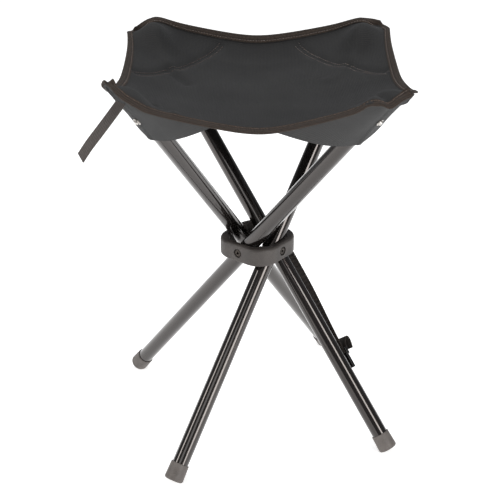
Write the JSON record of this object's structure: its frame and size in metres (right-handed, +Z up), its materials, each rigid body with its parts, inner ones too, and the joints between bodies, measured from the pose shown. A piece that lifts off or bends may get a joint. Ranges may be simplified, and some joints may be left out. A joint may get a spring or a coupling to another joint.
{
  "type": "folding camp stool",
  "caption": "Folding camp stool: slim tube legs crossing through a moulded hub, a sagging square cloth seat with corner pockets, edge binding, foot caps and straps.",
  "frame": {"origin": "on the floor, under the hub's vertical axis", "axes": "+Z up through the hub; X and Y along the seat's sides; -Y is the side that faces the viewer in the picture"},
  "size_m": [0.3387, 0.3387, 0.471],
  "materials": {
    "tube_paint": "gloss",
    "hub_plastic": "satin",
    "cap_plastic": "matt",
    "rivet_steel": "satin",
    "screw_steel": "satin",
    "seat_cloth": "woven polyester",
    "pocket_cloth": "woven polyester",
    "binding_tape": "woven tape",
    "strap_webbing": "webbing",
    "dark_webbing": "webbing",
    "buckle_plastic": "satin"
  },
  "bodies": {
    "hub": {"hub_ring": "hub_plastic", "pivot_rivet_a": "rivet_steel", "pivot_rivet_b": "rivet_steel", "pivot_rivet_c": "rivet_steel", "pivot_rivet_d": "rivet_steel", "seat_panel": "seat_cloth", "edge_binding_front": "binding_tape", "edge_binding_right": "binding_tape", "edge_binding_back": "binding_tape", "edge_binding_left": "binding_tape"},
    "leg_a": {"leg_tube_a": "tube_paint", "top_plug_a": "cap_plastic", "foot_cap_a": "cap_plastic", "corner_pocket_a": "pocket_cloth", "pocket_washer_a": "screw_steel", "pocket_screw_a": "screw_steel", "corner_strap": "strap_webbing"},
    "leg_b": {"leg_tube_b": "tube_paint", "top_plug_b": "cap_plastic", "foot_cap_b": "cap_plastic", "corner_pocket_b": "pocket_cloth", "pocket_washer_b": "screw_steel", "pocket_screw_b": "screw_steel"},
    "leg_c": {"leg_tube_c": "tube_paint", "top_plug_c": "cap_plastic", "foot_cap_c": "cap_plastic", "corner_pocket_c": "pocket_cloth", "pocket_washer_c": "screw_steel", "pocket_screw_c": "screw_steel"},
    "leg_d": {"leg_tube_d": "tube_paint", "top_plug_d": "cap_plastic", "foot_cap_d": "cap_plastic", "corner_pocket_d": "pocket_cloth", "pocket_washer_d": "screw_steel", "pocket_screw_d": "screw_steel", "closing_strap": "dark_webbing", "buckle": "buckle_plastic"}
  },
  "joints": [
    {"name": "leg_a_fold", "type": "hinge", "parent": "hub", "child": "leg_a", "pos_m": [-0.0169, 0.01329, 0.23344], "axis": [-0.7859, 0.6184, 0], "range_deg": [0, 38.9], "deforming": ["corner_pocket_a", "seat_panel", "edge_binding_front", "edge_binding_right", "edge_binding_back", "edge_binding_left"]},
    {"name": "leg_b_fold", "type": "hinge", "parent": "hub", "child": "leg_b", "pos_m": [-0.01329, -0.0169, 0.23344], "axis": [-0.6184, -0.7859, 0], "range_deg": [0, 38.9], "deforming": ["corner_pocket_b"]},
    {"name": "leg_c_fold", "type": "hinge", "parent": "hub", "child": "leg_c", "pos_m": [0.0169, -0.01329, 0.23344], "axis": [0.7859, -0.6184, 0], "range_deg": [0, 38.9], "deforming": ["corner_pocket_c"]},
    {"name": "leg_d_fold", "type": "hinge", "parent": "hub", "child": "leg_d", "pos_m": [0.01329, 0.0169, 0.23344], "axis": [0.6184, 0.7859, 0], "range_deg": [0, 38.9], "deforming": ["corner_pocket_d"]}
  ],
  "couplings": [
    {"joint": "leg_b_fold", "follows": "leg_a_fold", "ratio": 1},
    {"joint": "leg_c_fold", "follows": "leg_a_fold", "ratio": 1},
    {"joint": "leg_d_fold", "follows": "leg_a_fold", "ratio": 1}
  ]
}
